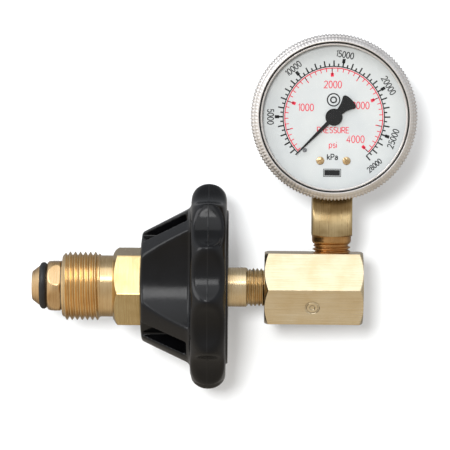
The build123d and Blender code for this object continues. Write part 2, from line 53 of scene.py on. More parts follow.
def linear(code):
    """An sRGB hex colour as linear red, green, blue and alpha."""
    parts = [int(code[i:i + 2], 16) / 255 for i in (0, 2, 4)]
    return [c / 12.92 if c <= 0.04045 else ((c + 0.055) / 1.055) ** 2.4 for c in parts] + [1.0]


def add(tree, kind, settings=None, **inputs):
    """Add a shader node, set its properties, and fill or link its inputs by name or number."""
    node = tree.nodes.new(kind)
    for key, value in (settings or {}).items():
        setattr(node, key, value)
    for key, value in inputs.items():
        numbered = key[0] == "i" and key[1:].isdigit()
        socket = node.inputs[int(key[1:]) if numbered else key.replace("_", " ")]
        if isinstance(value, bpy.types.NodeSocket):
            tree.links.new(value, socket)
        else:
            socket.default_value = value
    return node


def start_material(name):
    """A new material with only its output node."""
    material = bpy.data.materials.new(name)
    material.use_nodes = True
    material.node_tree.nodes.clear()
    return material, material.node_tree


def stretched(tree, size_mm, detail=2.0, rough=0.5, turn=(0.0, 0.0, 0.0)):
    """Noise whose grain measures size_mm = (x, y, z) millimetres along the object's own axes."""
    place = add(tree, "ShaderNodeTexCoord")
    grid = add(tree, "ShaderNodeMapping", Vector=place.outputs["Object"], Rotation=turn,
               Scale=[1 / (s * MM) for s in size_mm])
    noise = add(tree, "ShaderNodeTexNoise", Vector=grid.outputs["Vector"], Scale=1.0, Detail=detail,
                Roughness=rough)
    return noise.outputs["Fac"]


def between(tree, amount, low, high, start=0.3, end=0.7):
    """A colour that runs from low to high as amount runs from start to end."""
    ramp = add(tree, "ShaderNodeValToRGB", i0=amount)
    ramp.color_ramp.elements[0].position = start
    ramp.color_ramp.elements[1].position = end
    ramp.color_ramp.elements[0].color = low
    ramp.color_ramp.elements[1].color = high
    return ramp.outputs["Color"]


def ranged(tree, amount, low, high, start=0.3, end=0.7):
    """A number that runs from low to high as amount runs from start to end."""
    spread = add(tree, "ShaderNodeMapRange", i0=amount, i1=start, i2=end, i3=low, i4=high)
    return spread.outputs["Result"]


def inside_band(tree, axis, start_mm, end_mm, blur_mm=0.15):
    """One where the object's own coordinate lies between two distances, nought elsewhere."""
    place = add(tree, "ShaderNodeTexCoord")
    split = add(tree, "ShaderNodeSeparateXYZ", Vector=place.outputs["Object"])
    at = split.outputs[axis]
    rise = ranged(tree, at, 0.0, 1.0, (start_mm - blur_mm) * MM, (start_mm + blur_mm) * MM)
    fall = ranged(tree, at, 1.0, 0.0, (end_mm - blur_mm) * MM, (end_mm + blur_mm) * MM)
    return add(tree, "ShaderNodeMath", {"operation": "MULTIPLY"}, i0=rise, i1=fall).outputs[0]


def machined_brass(name, light, dark, grain_mm, roughness, depth_mm, tarnish=0.0, tarnish_hex="6b4a22",
                   bands=(), stamp=None):
    """Free-cutting brass left as the tool left it: fine cutting lines, clouds of slight tarnish.

    Each band is an axis, a start, an end and a tint for a length whose brass is of another tone; a
    stamp is a function that gives the height of a mark pressed into the face.
    """
    material, tree = start_material(name)
    clouds = stretched(tree, (7.0, 7.0, 7.0), detail=4.0)
    lines = stretched(tree, grain_mm, detail=3.0, rough=0.6)
    specks = stretched(tree, (0.5, 0.5, 0.5), detail=2.0)
    metal = between(tree, clouds, linear(dark), linear(light), 0.25, 0.75)
    for axis, start, end, tint in bands:
        zone = add(tree, "ShaderNodeMix", {"data_type": "RGBA", "blend_type": "MULTIPLY"},
                   i0=inside_band(tree, axis, start, end), i6=metal, i7=linear(tint))
        metal = zone.outputs[2]
    lined = add(tree, "ShaderNodeMix", {"data_type": "RGBA", "blend_type": "MULTIPLY"}, i0=0.35,
                i6=metal, i7=between(tree, lines, linear("c8b79c"), linear("ffffff"), 0.35, 0.6))
    stain = add(tree, "ShaderNodeMix", {"data_type": "RGBA", "blend_type": "MIX"},
                i0=ranged(tree, clouds, tarnish, 0.0, 0.3, 0.55), i6=lined.outputs[2],
                i7=linear(tarnish_hex))
    height = add(tree, "ShaderNodeMath", {"operation": "ADD"}, i0=lines,
                 i1=ranged(tree, specks, 0.0, 0.25, 0.4, 0.8))
    bump = add(tree, "ShaderNodeBump", Height=height.outputs[0], Distance=depth_mm * MM, Strength=0.6)
    if stamp:
        bump = add(tree, "ShaderNodeBump", Height=stamp(tree), Distance=0.5 * MM, Strength=1.0,
                   Normal=bump.outputs["Normal"])
    shader = add(tree, "ShaderNodeBsdfPrincipled", Base_Color=stain.outputs[2], Metallic=1.0,
                 Roughness=ranged(tree, lines, roughness - 0.05, roughness + 0.1),
                 Normal=bump.outputs["Normal"])
    add(tree, "ShaderNodeOutputMaterial", Surface=shader.outputs["BSDF"])
    return material


def polygon_columns(sides, flats, corner, turn_deg, across=16, bend=5):
    """Angles and radii round a regular polygon with rounded corners.

    Straight sides are lines at half the flats from the centre; each corner is an arc of the
    corner radius that touches its two sides.
    """
    half = math.pi / sides
    reach = (flats / 2 - corner) / math.cos(half)
    swing = np.linspace(-half, half, bend)
    side = np.linspace(-1, 1, across + 2)[1:-1] * (flats / 2 - corner) * math.tan(half)
    arc = np.stack([reach + corner * np.cos(swing), corner * np.sin(swing)])
    flat = np.stack([np.full(across, flats / 2), side])
    spin = np.array([[math.cos(half), -math.sin(half)], [math.sin(half), math.cos(half)]])
    both = np.concatenate([arc, spin @ flat], axis=1)
    angle = np.arctan2(both[1], both[0])
    radius = np.hypot(both[0], both[1])
    steps = np.arange(sides)[:, None] * 2 * half
    return (angle[None] + steps + math.radians(turn_deg)).ravel(), np.tile(radius, sides)


def rounded(profile, radius, steps=4):
    """Replace each corner of a polyline with a short curve and a point each side of it.

    The curve is the parabola through the two points that lie the radius away from the corner,
    held to two fifths of the shorter side.
    """
    p = np.asarray(profile, float)
    before = np.roll(p, 1, axis=0) - p
    after = np.roll(p, -1, axis=0) - p
    sizes = np.stack([np.hypot(*before.T), np.hypot(*after.T)])
    cut = np.minimum(radius, 0.4 * sizes.min(axis=0))[:, None]
    a = p + before / sizes[0][:, None] * cut
    b = p + after / sizes[1][:, None] * cut
    t = np.linspace(0, 1, steps + 1)[None, :, None]
    curve = (1 - t) ** 2 * a[:, None] + 2 * t * (1 - t) * p[:, None] + t ** 2 * b[:, None]
    lead = (p + before / sizes[0][:, None] * cut * 1.15)[:, None]
    tail = (p + after / sizes[1][:, None] * cut * 1.15)[:, None]
    rows = np.concatenate([lead, curve, tail], axis=1)
    return np.concatenate([p[:1], rows[1:-1].reshape(-1, 2), p[-1:]])


def softer_min(a, b, width):
    """The smaller of two numbers, with the change from one to the other rounded over a width."""
    h = np.clip(0.5 + 0.5 * (b - a) / width, 0, 1)
    return b + (a - b) * h - width * h * (1 - h)


def turned(along, radius, theta, axis="X", centre=(0.0, 0.0)):
    """A surface of revolution: distance along the axis and radius for each row and angle."""
    along = np.broadcast_to(along[:, None] if along.ndim == 1 else along, radius.shape)
    u = radius * np.cos(theta)
    v = radius * np.sin(theta)
    if axis == "X":
        points = np.stack([along, centre[0] + u, centre[1] + v], axis=-1)
    elif axis == "Y":
        points = np.stack([centre[0] + u, along, centre[1] + v], axis=-1)
    else:
        points = np.stack([centre[0] + u, centre[1] + v, along], axis=-1)
    return points


def grid_faces(rows, columns, closed_rows=False):
    """Quads of a grid whose columns close on themselves, and its rows too if asked."""
    r = np.arange(rows if closed_rows else rows - 1)[:, None]
    c = np.arange(columns)[None, :]
    up = (r + 1) % rows
    beside = (c + 1) % columns
    quads = np.stack([r * columns + c, up * columns + c, up * columns + beside, r * columns + beside], -1)
    return quads.reshape(-1, 4)


WELD_MM = 0.002


def piece(name, parts, node, material, body=HELD):
    """Join (points, faces) pairs in millimetres into one welded object that stands for a node."""
    points, faces, first = [], [], 0
    for p, f in parts:
        p = np.asarray(p, float).reshape(-1, 3)
        points.append(p)
        faces.append(np.asarray(f) + first)
        first += len(p)
    mesh = bpy.data.meshes.new(name)
    mesh.from_pydata((np.concatenate(points) * MM).tolist(), [], np.concatenate(faces).tolist())
    shape = bmesh.new()
    shape.from_mesh(mesh)
    bmesh.ops.remove_doubles(shape, verts=shape.verts, dist=WELD_MM * MM)
    bmesh.ops.dissolve_degenerate(shape, edges=shape.edges, dist=WELD_MM * MM * 0.1)
    bmesh.ops.recalc_face_normals(shape, faces=shape.faces)
    shape.to_mesh(mesh)
    shape.free()
    mesh.polygons.foreach_set("use_smooth", [True] * len(mesh.polygons))
    mesh.materials.append(material)
    thing = bpy.data.objects.new(name, mesh)
    bpy.context.scene.collection.objects.link(thing)
    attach(thing, body)
    if node:
        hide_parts(node)


def thread_band(start, end, crest, pitch, depth, theta, low, taper=0.0, axis="X", centre=(0.0, 0.0)):
    """One right-handed helical thread between two rings of the radius low.

    Along the axis the radius falls from the crest to the root and back once a pitch; a point's
    place moves one pitch along for each turn, and both ends are cut back by 50 degree chamfers.
    """
    ring = np.append(theta - theta[0], 2 * np.pi)
    share = np.array([0.0, 0.05, 0.07, 0.25, 0.43, 0.45, 0.55, 0.57, 0.75, 0.93, 0.95])
    turns = np.arange(-1, int((end - start) / pitch) + 2)
    base = (turns[:, None] + share[None, :]).ravel()
    place = start + pitch * (base[:, None] + ring[None, :] / (2 * np.pi))
    fraction = base - np.floor(base)
    flat_share, chamfer_slope = 0.12, 1.2
    shape = np.clip((np.abs(2 * fraction - 1) - flat_share) / (1 - 2 * flat_share), 0, 1)
    held = np.clip(place, start, end)
    radius = crest - taper * (held - start) - depth * (1 - shape)[:, None]
    radius = np.minimum(radius, low + np.minimum(held - start, end - held) * chamfer_slope)
    points = turned(held, np.maximum(radius, low - 0.3), ring + theta[0], axis, centre)
    rows, columns = radius.shape
    r = np.arange(rows - 1)[:, None]
    c = np.arange(columns - 1)[None, :]
    quads = np.stack([r * columns + c, (r + 1) * columns + c, (r + 1) * columns + c + 1,
                      r * columns + c + 1], -1)
    return points, quads.reshape(-1, 4)


def turned_part(profile, theta, limit=None, span=None, axis="X", centre=(0.0, 0.0), closed=True):
    """A closed or open turned surface, its radius held inside a polygon over a span of the axis."""
    along, radius = np.asarray(profile, float).T
    radius = np.repeat(radius[:, None], len(theta), axis=1)
    if limit is not None:
        inside = ((along >= span[0] - 1e-6) & (along <= span[1] + 1e-6))[:, None]
        radius = np.where(inside, softer_min(radius, limit[None, :], 0.16), radius)
    return turned(along, radius, theta, axis, centre), grid_faces(len(along), len(theta), closed)


INCH = 25.4
COLLAR = (5.4, 10.4)
COLLAR_FLATS = 17.46
BORE_R = 2.5
PIPE_PITCH = INCH / 18
collar_theta, collar_limit = polygon_columns(6, COLLAR_FLATS, 0.3, 0.0, across=18)
nose = rounded([(8.5, 3.2), (0.0, 3.2), (0.0, 5.0), (0.35, 5.35), (2.75, 7.2), (2.75, 5.78), (5.4, 5.78),
                (5.4, 7.9)], 0.12)
swell = np.linspace(0, 1, 18)[:, None] * math.pi / 2
collar = np.concatenate([np.hstack([5.4 + 3.6 * (1 - np.cos(swell)), 7.7 + 1.9 * np.sin(swell)]),
                         np.hstack([9.4 + 0.95 * np.sin(swell), 9.1 + 0.5 * np.cos(swell)])])
shank = rounded([(10.4, 9.0), (10.4, 7.05), (76.7, 7.05), (77.2, 6.5), (77.5, 6.0)], 0.15)
pipe = thread_band(77.5, 83.6, 6.9, PIPE_PITCH, 0.75, collar_theta, 6.0, taper=1 / 32)
core = np.array([(83.6, 6.0), (93.0, 6.0), (93.0, BORE_R), (8.5, BORE_R), (8.5, 3.2)])
nipple_brass = machined_brass("turned_brass_nipple", "efdcb6", "dfc394", (0.18, 14.0, 14.0), 0.22, 0.012,
                              tarnish=0.12, bands=[("X", -1.0, 10.45, "f0e2d4")])
outside = np.concatenate([nose, collar[1:], shank[1:]])
skin_of_nipple = [turned_part(outside, collar_theta, collar_limit, COLLAR, closed=False), pipe,
                  turned_part(core, collar_theta, closed=False)]
piece("nipple_skin", skin_of_nipple, "inlet_nipple", nipple_brass)


# The soft ring in the nose groove is moulded nitrile rubber, dull black with a faint sheen.
def round_ring(centre, ring_radius, section, theta, axis="X", around=(0.0, 0.0), steps=24):
    """A ring of round section: a circle carried round the axis."""
    t = np.linspace(0, 2 * np.pi, steps, endpoint=False)
    profile = np.stack([centre + section * np.cos(t), ring_radius + section * np.sin(t)], axis=1)
    return turned_part(profile, theta, axis=axis, centre=around)


def even_columns(count):
    """Equal steps of angle round a full turn."""
    return np.linspace(0, 2 * np.pi, count, endpoint=False)


def rubber(name, code, roughness, grain_mm):
    """Moulded rubber: near black, slightly dusty, with a fine matt grain."""
    material, tree = start_material(name)
    dust = stretched(tree, (2.5, 2.5, 2.5), detail=5.0)
    grain = stretched(tree, (grain_mm,) * 3, detail=2.0)
    bump = add(tree, "ShaderNodeBump", Height=grain, Distance=0.01 * MM, Strength=0.5)
    tone = between(tree, dust, linear(code), linear("262625"), 0.5, 0.85)
    shader = add(tree, "ShaderNodeBsdfPrincipled", Base_Color=tone, IOR=1.52,
                 Roughness=ranged(tree, dust, roughness, roughness + 0.15),
                 Normal=bump.outputs["Normal"])
    add(tree, "ShaderNodeOutputMaterial", Surface=shader.outputs["BSDF"])
    return material


ring_rubber = rubber("nitrile_rubber_ring", "101010", 0.42, 0.25)
piece("nose_ring", [round_ring(4.08, 7.09, 1.31, even_columns(96))], "nose_o_ring",
      ring_rubber)


# The inlet nut is turned from one inch hexagonal brass bar: thread, neck, chamfered hexagon and a
# spigot inside the wheel. The thread is cut with a single point and left sharp and golden.
NUT_TURN = 7.8
NUT_PITCH = INCH / 14
nut_theta, nut_limit = polygon_columns(6, INCH, 0.25, NUT_TURN, across=24)
thread = thread_band(11.3, 24.6, 12.25, NUT_PITCH, 1.15, nut_theta, 11.1)
chamfer = np.stack([np.linspace(29.12, 30.9, 22), np.linspace(11.75, 14.75, 22)], axis=1)
nut_tail = rounded([(24.6, 11.1), (24.6, 11.0), (29.1, 11.0), (29.1, 11.6)], 0.15)
nut_rear = rounded([(30.95, 14.8), (56.0, 14.8), (56.0, 9.5), (66.0, 9.5), (66.0, 8.8), (67.2, 8.8),
                    (67.2, 9.5), (68.0, 9.5), (68.0, 7.15), (11.55, 7.15), (11.55, 8.9), (10.9, 8.9),
                    (10.9, 10.7), (11.3, 11.1)], 0.12)
nut_skin = turned_part(np.concatenate([nut_tail, chamfer, nut_rear]), nut_theta, nut_limit,
                       (29.05, 56.1), closed=False)
tones = [("X", 10.0, 24.7, "fff0e2"), ("X", 24.7, 29.2, "f4e6d8"), ("X", 29.2, 56.2, "dcd4c2")]
nut_brass = machined_brass("turned_brass_nut", "f3e4bd", "e9d4a6", (0.15, 12.0, 12.0), 0.19, 0.012,
                           tarnish=0.1, bands=tones)
piece("nut_skin", [nut_skin, thread], "inlet_nut", nut_brass, body="nut_and_wheel")


# The body is cut from one inch hexagonal brass bar, chamfered at both ends in the lathe and
# polished by the bar's drawing die, so its flats carry long faint lines.
body_theta, body_limit = polygon_columns(6, INCH, 0.3, 0.0, across=24)
ends = np.linspace(0, 1, 18)
body_profile = np.concatenate([
    np.array([(90.0, 0.0), (90.0, 6.3), (83.2, 6.3)]),
    rounded([(83.2, 6.9), (83.2, 12.7), (83.45, 13.1)], 0.15),
    np.stack([83.5 + 1.1 * ends, 13.15 + 1.7 * ends], 1),
    np.stack([117.0 + 1.1 * ends, 14.85 - 1.7 * ends], 1),
    rounded([(118.15, 13.1), (118.4, 12.7), (118.4, 6.0)], 0.15),
    np.array([(118.4, 0.0)]),
])


STAMP_X = 100.2
STAMP_R = 2.3


def ring_stamp(tree):
    """Height of a small ring and dot pressed into the lower front flat of the body."""
    place = add(tree, "ShaderNodeTexCoord").outputs["Object"]
    along = add(tree, "ShaderNodeVectorMath", {"operation": "DOT_PRODUCT"}, i0=place, i1=(1.0, 0.0, 0.0))
    up = add(tree, "ShaderNodeVectorMath", {"operation": "DOT_PRODUCT"}, i0=place, i1=(0.0, -0.5, 0.866))
    toward = add(tree, "ShaderNodeVectorMath", {"operation": "DOT_PRODUCT"}, i0=place,
                 i1=(0.0, -0.866, -0.5))
    across = add(tree, "ShaderNodeMath", {"operation": "SUBTRACT"}, i0=along.outputs["Value"],
                 i1=STAMP_X * MM)
    flat = add(tree, "ShaderNodeCombineXYZ", X=across.outputs[0], Y=up.outputs["Value"])
    reach = add(tree, "ShaderNodeVectorMath", {"operation": "LENGTH"}, i0=flat.outputs[0]).outputs["Value"]
    off = add(tree, "ShaderNodeMath", {"operation": "SUBTRACT"}, i0=reach, i1=STAMP_R * MM)
    size = add(tree, "ShaderNodeMath", {"operation": "ABSOLUTE"}, i0=off.outputs[0])
    ring = ranged(tree, size.outputs[0], -1.0, 0.0, 0.15 * MM, 0.35 * MM)
    dot = ranged(tree, reach, -1.0, 0.0, 0.8 * MM, 1.05 * MM)
    both = add(tree, "ShaderNodeMath", {"operation": "ADD"}, i0=ring, i1=dot)
    near = ranged(tree, toward.outputs["Value"], 0.0, 1.0, 12.0 * MM, 12.3 * MM)
    return add(tree, "ShaderNodeMath", {"operation": "MULTIPLY"}, i0=both.outputs[0], i1=near).outputs[0]


body_brass = machined_brass("drawn_brass_body", "f3e6c8", "ebd7ae", (14.0, 0.2, 0.2), 0.2, 0.006,
                            tarnish=0.03, stamp=ring_stamp)
piece("body_skin", [turned_part(body_profile, body_theta, body_limit, (83.0, 118.5), closed=False)],
      "elbow_body", body_brass)


# The gauge stem is a milled brass square with a turned neck and pipe thread, darker and browner
# than the body, with upright cutter lines.
GX, GZ = 107.1, 61.4
stem_theta, stem_limit = polygon_columns(4, 14.25, 0.35, 45.0, across=26, bend=6)
stem_thread = thread_band(12.0, 15.8, 6.8, PIPE_PITCH, 0.95, stem_theta, 5.9, axis="Z", centre=(GX, 0.0))
neck = rounded([(15.8, 5.9), (15.9, 6.3), (16.4, 6.8), (17.1, 7.0), (18.6, 7.0)], 0.2)
lift = np.linspace(0, 1, 20)
square = np.concatenate([np.stack([18.65 + 0.75 * lift, 7.05 + 3.0 * lift], 1),
                         np.array([(36.0, 10.1), (36.0, 0.0)])])
foot = np.array([(4.0, 0.0), (4.0, 5.9), (12.0, 5.9)])
stem_brass = machined_brass("milled_brass_stem", "d2bd92", "b09668", (0.3, 0.3, 18.0), 0.3, 0.02,
                            tarnish=0.3, tarnish_hex="6b5232", bands=[("Z", 11.0, 18.7, "ffe0c4")])
piece("stem_skin", [stem_thread,
                    turned_part(np.concatenate([neck, square]), stem_theta, stem_limit, (18.0, 37.0),
                                axis="Z", centre=(GX, 0.0), closed=False),
                    turned_part(foot, stem_theta, axis="Z", centre=(GX, 0.0), closed=False)],
      "gauge_socket", stem_brass)


# The handwheel is moulded in one piece from black glass-filled nylon with a gloss skin: a cone
# with three finger flutes and three core slots, and a twelve-lobed rim.
def softer_max(a, b, width):
    """The larger of two numbers, rounded over a width where they meet."""
    return -softer_min(-a, -b, width)


def skinned(field, low, high, step):
    """The surface where a function of x, y and z is nought.

    One point for each grid cell the surface crosses, at the mean of its edge crossings and then
    moved down the slope of the function; one quad for each grid edge that it crosses.
    """
    lines = [np.arange(a, b, step) for a, b in zip(low, high)]
    at = np.meshgrid(*lines, indexing="ij")
    value = field(*at)
    inside = value < 0
    size = np.array(value.shape)
    total = np.zeros((3, *(size - 1)))
    count = np.zeros(size - 1)
    crossing = []
    for axis in range(3):
        one = [slice(None)] * 3
        two = [slice(None)] * 3
        one[axis], two[axis] = slice(0, -1), slice(1, None)
        one, two = tuple(one), tuple(two)
        hit = inside[one] != inside[two]
        share = np.where(hit, value[one] / np.where(hit, value[one] - value[two], 1.0), 0.0)
        crossing.append((hit, inside[one]))
        others = [k for k in range(3) if k != axis]
        for da in (0, 1):
            for db in (0, 1):
                cut = [slice(None)] * 3
                cut[others[0]] = slice(da, size[others[0]] - 1 + da)
                cut[others[1]] = slice(db, size[others[1]] - 1 + db)
                cut = tuple(cut)
                count += hit[cut]
                for k in range(3):
                    place = at[k][one][cut] + (share[cut] * step if k == axis else 0.0)
                    total[k] += hit[cut] * place
    live = count > 0
    number = np.full(size - 1, -1)
    number[live] = np.arange(live.sum())
    points = (total[:, live] / count[live]).T
    quads = []
    for axis in range(3):
        hit, starts_inside = crossing[axis]
        others = [k for k in range(3) if k != axis]
        inner = [slice(None)] * 3
        inner[others[0]] = slice(1, -1)
        inner[others[1]] = slice(1, -1)
        where = np.argwhere(hit[tuple(inner)])
        flip = starts_inside[tuple(inner)][tuple(where.T)]
        where[:, others] += 1
        corners = []
        for da, db in ((1, 1), (0, 1), (0, 0), (1, 0)):
            cell = where.copy()
            cell[:, others[0]] -= da
            cell[:, others[1]] -= db
            corners.append(number[tuple(cell.T)])
        quad = np.stack(corners, axis=1)
        turn = flip if axis != 1 else ~flip
        quad[~turn] = quad[~turn][:, ::-1]
        quads.append(quad)
    small = 0.02
    for _ in range(4):
        here = field(*points.T)
        slope = np.stack([(field(*(points + nudge).T) - field(*(points - nudge).T)) / (2 * small)
                          for nudge in small * np.eye(3)], axis=1)
        pull = here / np.maximum((slope ** 2).sum(1), 0.25)
        points = points - np.clip(pull, -0.2, 0.2)[:, None] * slope
    return points, np.concatenate(quads)


# Distances along the nipple are X, radii from its axis are R. Lobes, flutes and core slots are spaced
# from the turn of the wheel, and the bore is a hexagon for the nut, then a round hole.
WHEEL_TURN = 10.5
CONE_X, CONE_R = 39.4, 19.4
CONE_SLOPE, CONE_TILT = 0.5235, 0.886
RIM_X, RIM_R, RIM_SECTION_R = 63.2, 31.0, 6.3
LOBES, LOBE_CENTRE_R, LOBE_R = 12, 48.5, 15.0
FLUTES, FLUTE_CENTRE_R, FLUTE_R, FLUTE_END_X = 3, 46.9, 30.3, 56.9
CORE_HALF, CORE_INNER_R, CORE_END_X = 4.0, 17.9, 55.5
SOCKET_HALF, SOCKET_END_X, HOLE_R = 12.75, 56.0, 9.55


def from_nearest(lift, first_deg, count):
    """Angle in radians from the nearest of a number of equal steps round the axis."""
    step = 360 / count
    return np.radians((lift - first_deg + step / 2) % step - step / 2)


def wheel_field(x, y, z):
    """Below nought inside the wheel: a domed cone, a rounded rim and a disc joined, less the
    scallops between lobes, the flutes, the core slots and the bore."""
    r = np.hypot(y, z)
    lift = np.degrees(np.arctan2(z, -y))
    front = 38.15 + 1.3 * (r / CONE_R) ** 2 - x
    side = (r - CONE_R - CONE_SLOPE * (x - CONE_X)) * CONE_TILT
    cone = softer_max(softer_max(front, side, 0.7), x - 62.0, 0.5)
    rim = np.hypot(x - RIM_X, np.maximum(r - RIM_R, 0)) - RIM_SECTION_R
    disc = softer_max(softer_max(x - 70.2, r - 27.5, 0.4), 60.0 - x, 0.2)
    solid = softer_min(softer_min(cone, rim, 1.6), disc, 0.3)
    angle = from_nearest(lift, WHEEL_TURN, LOBES)
    scallop = LOBE_R - np.hypot(r * np.cos(angle) - LOBE_CENTRE_R, r * np.sin(angle))
    solid = softer_max(solid, scallop, 1.5)
    angle = from_nearest(lift, WHEEL_TURN, FLUTES)
    hollow = np.hypot(r * np.cos(angle) - FLUTE_CENTRE_R, r * np.sin(angle)) - FLUTE_R
    solid = softer_max(solid, -softer_max(hollow, x - FLUTE_END_X, 1.2), 0.9)
    angle = from_nearest(lift, WHEEL_TURN + 180 / FLUTES, FLUTES)
    core = softer_max(np.abs(r * np.sin(angle)) - CORE_HALF, CORE_INNER_R - r * np.cos(angle), 0.6)
    solid = softer_max(solid, -softer_max(core, x - CORE_END_X, 0.8), 0.7)
    hexagon = np.maximum.reduce([np.abs(y * math.cos(a) + z * math.sin(a)) for a in
                                 np.radians(np.array([30, 90, 150]) + NUT_TURN)]) - SOCKET_HALF
    bore = np.minimum(np.maximum(hexagon, x - SOCKET_END_X), r - HOLE_R)
    bore = np.minimum(bore, softer_max(r - 12.5, 66.0 - x, 0.3))
    return softer_max(solid, -bore, 0.35)


def moulded_black(name):
    """Glass-filled nylon with a gloss moulded skin: near black, faint flow marks, fine scuffs."""
    material, tree = start_material(name)
    flow = stretched(tree, (11.0, 11.0, 11.0), detail=3.0)
    grain = stretched(tree, (0.7, 0.7, 0.7), detail=4.0, rough=0.6)
    scuffs = stretched(tree, (1.2, 9.0, 0.35), detail=6.0, rough=0.7, turn=(0.5, 0.3, 0.2))
    bump = add(tree, "ShaderNodeBump", Height=grain, Distance=0.02 * MM, Strength=0.5)
    wave = add(tree, "ShaderNodeBump", Height=flow, Distance=0.3 * MM, Strength=0.25,
               Normal=bump.outputs["Normal"])
    seam = add(tree, "ShaderNodeBump", Height=inside_band(tree, "X", 63.1, 63.3, 0.12), Distance=0.12 * MM,
               Strength=1.0, Normal=wave.outputs["Normal"])
    rough = add(tree, "ShaderNodeMath", {"operation": "ADD"}, i0=ranged(tree, flow, 0.13, 0.2),
                i1=ranged(tree, scuffs, 0.0, 0.25, 0.6, 0.8))
    shader = add(tree, "ShaderNodeBsdfPrincipled",
                 Base_Color=between(tree, flow, linear("030303"), linear("08080a"), 0.35, 0.7),
                 Roughness=rough.outputs[0], IOR=1.39, Normal=seam.outputs["Normal"])
    add(tree, "ShaderNodeOutputMaterial", Surface=shader.outputs["BSDF"])
    return material


wheel_black = moulded_black("gloss_black_moulded_nylon")
piece("wheel_skin", [skinned(wheel_field, (37.4, -38.2, -38.2), (71.4, 38.4, 38.4), 0.5)], "handwheel",
      wheel_black, body="nut_and_wheel")


# The bezel is a pressed and plated steel ring screwed on the case. Its outer edge is knurled with
# 144 straight teeth for the hand, with a finer ribbed step inside it and a rolled inner lip.
# Each row of its outline is a place along the gauge's axis, a radius and a depth between the teeth.
GAUGE = (GX, GZ)
BEZEL_TEETH = 144
bezel_rows = np.array([
    (-8.0, 27.8, 0.0), (-8.0, 28.7, 0.0), (-8.1, 28.95, 0.0), (-8.5, 29.15, 0.0),
    (-8.8, 29.2, 0.0), (-9.0, 29.45, 0.42), (-9.2, 29.48, 0.45), (-14.6, 29.48, 0.45),
    (-15.2, 29.4, 0.45), (-15.8, 29.1, 0.4), (-16.1, 28.75, 0.25), (-16.25, 28.5, 0.0),
    (-16.3, 28.3, 0.0), (-16.4, 28.22, 0.0), (-16.55, 28.2, 0.1), (-17.1, 28.05, 0.22),
    (-17.5, 27.7, 0.22), (-17.75, 27.3, 0.18), (-17.85, 27.1, 0.0), (-17.88, 27.0, 0.0),
    (-17.98, 26.9, 0.0), (-18.0, 26.75, 0.0), (-18.0, 26.65, 0.0), (-17.95, 26.56, 0.0),
    (-17.8, 26.52, 0.0), (-16.8, 26.5, 0.0), (-16.75, 26.45, 0.0), (-16.75, 26.1, 0.0),
    (-16.8, 26.05, 0.0), (-17.2, 25.94, 0.0), (-17.35, 25.82, 0.0), (-17.38, 25.6, 0.0),
    (-17.3, 25.42, 0.0), (-17.1, 25.34, 0.0), (-16.62, 25.32, 0.0), (-16.62, 27.7, 0.0),
])
bezel_theta = even_columns(BEZEL_TEETH * 8)
wave = np.abs(((bezel_theta * BEZEL_TEETH / (2 * np.pi)) % 1.0) * 2 - 1)
tooth = np.clip((wave - 0.15) / 0.6, 0, 1)
bezel_radius = bezel_rows[:, 1:2] - bezel_rows[:, 2:3] * tooth[None, :]
bezel_skin = turned(bezel_rows[:, 0], bezel_radius, bezel_theta, "Y", GAUGE)


def satin_steel(name, light, dark, roughness, grain_mm, depth_mm):
    """Nickel-plated steel with a turned satin finish: warm silver with soft clouds."""
    material, tree = start_material(name)
    clouds = stretched(tree, (7.0, 7.0, 7.0), detail=3.0)
    lines = stretched(tree, grain_mm, detail=3.0, rough=0.65)
    bump = add(tree, "ShaderNodeBump", Height=lines, Distance=depth_mm * MM, Strength=0.5)
    tone = between(tree, clouds, linear(dark), linear(light))
    shader = add(tree, "ShaderNodeBsdfPrincipled", Base_Color=tone, Metallic=1.0,
                 Roughness=ranged(tree, lines, roughness - 0.06, roughness + 0.1),
                 Normal=bump.outputs["Normal"])
    add(tree, "ShaderNodeOutputMaterial", Surface=shader.outputs["BSDF"])
    return material


bezel_steel = satin_steel("satin_nickel_plated_steel", "f3f0ed", "e3dfdb", 0.5, (0.4,) * 3, 0.012)
piece("bezel_skin", [(bezel_skin, grid_faces(len(bezel_rows), len(bezel_theta), True))], "bezel_ring",
      bezel_steel)
# A thin black rubber ring in the groove inside the bezel lip draws the dark line round the window: partly a
# real seam, partly painted shade of the groove.
piece("bezel_seam_painted_shade", [round_ring(-16.95, 26.28, 0.24, even_columns(180), "Y", GAUGE, 12)], None,
      ring_rubber)


# The case is a drawn steel cup behind the bezel, plated like it, with a rounded back edge and a
# shallow pressed step round the back.
case_profile = rounded([(-13.6, 26.6), (-13.6, 27.8), (9.2, 27.8), (9.2, 20.0), (8.75, 19.2),
                        (8.75, 6.0)], 2.2, steps=8)
case_profile = np.concatenate([case_profile, np.array([(8.75, 0.0)])])
case_inner = np.array([(8.0, 0.0), (8.0, 26.6), (-13.6, 26.6)])
case_steel = satin_steel("satin_plated_drawn_steel", "dad4cd", "cac4bd", 0.3, (6.0, 0.25, 6.0), 0.01)
case_theta = even_columns(180)
piece("case_skin", [turned_part(wall, case_theta, axis="Y", centre=GAUGE, closed=False)
                    for wall in (case_profile, case_inner)],
      "gauge_case", case_steel)


# The dial is a white enamelled aluminium disc. Its two scales, numbers and units are printed on
# it as a thin film of ink, black outside for one unit and red inside for the other.
def enamel(name, light, dark, roughness):
    """Baked enamel on thin metal: smooth, very slightly uneven in tone and gloss."""
    material, tree = start_material(name)
    clouds = stretched(tree, (12.0, 12.0, 12.0), detail=3.0)
    peel = stretched(tree, (0.6, 0.6, 0.6), detail=2.0)
    bump = add(tree, "ShaderNodeBump", Height=peel, Distance=0.004 * MM, Strength=0.4)
    tone = between(tree, clouds, linear(dark), linear(light))
    shader = add(tree, "ShaderNodeBsdfPrincipled", Base_Color=tone, IOR=1.5,
                 Roughness=ranged(tree, clouds, roughness, roughness + 0.08),
                 Normal=bump.outputs["Normal"])
    add(tree, "ShaderNodeOutputMaterial", Surface=shader.outputs["BSDF"])
    return material


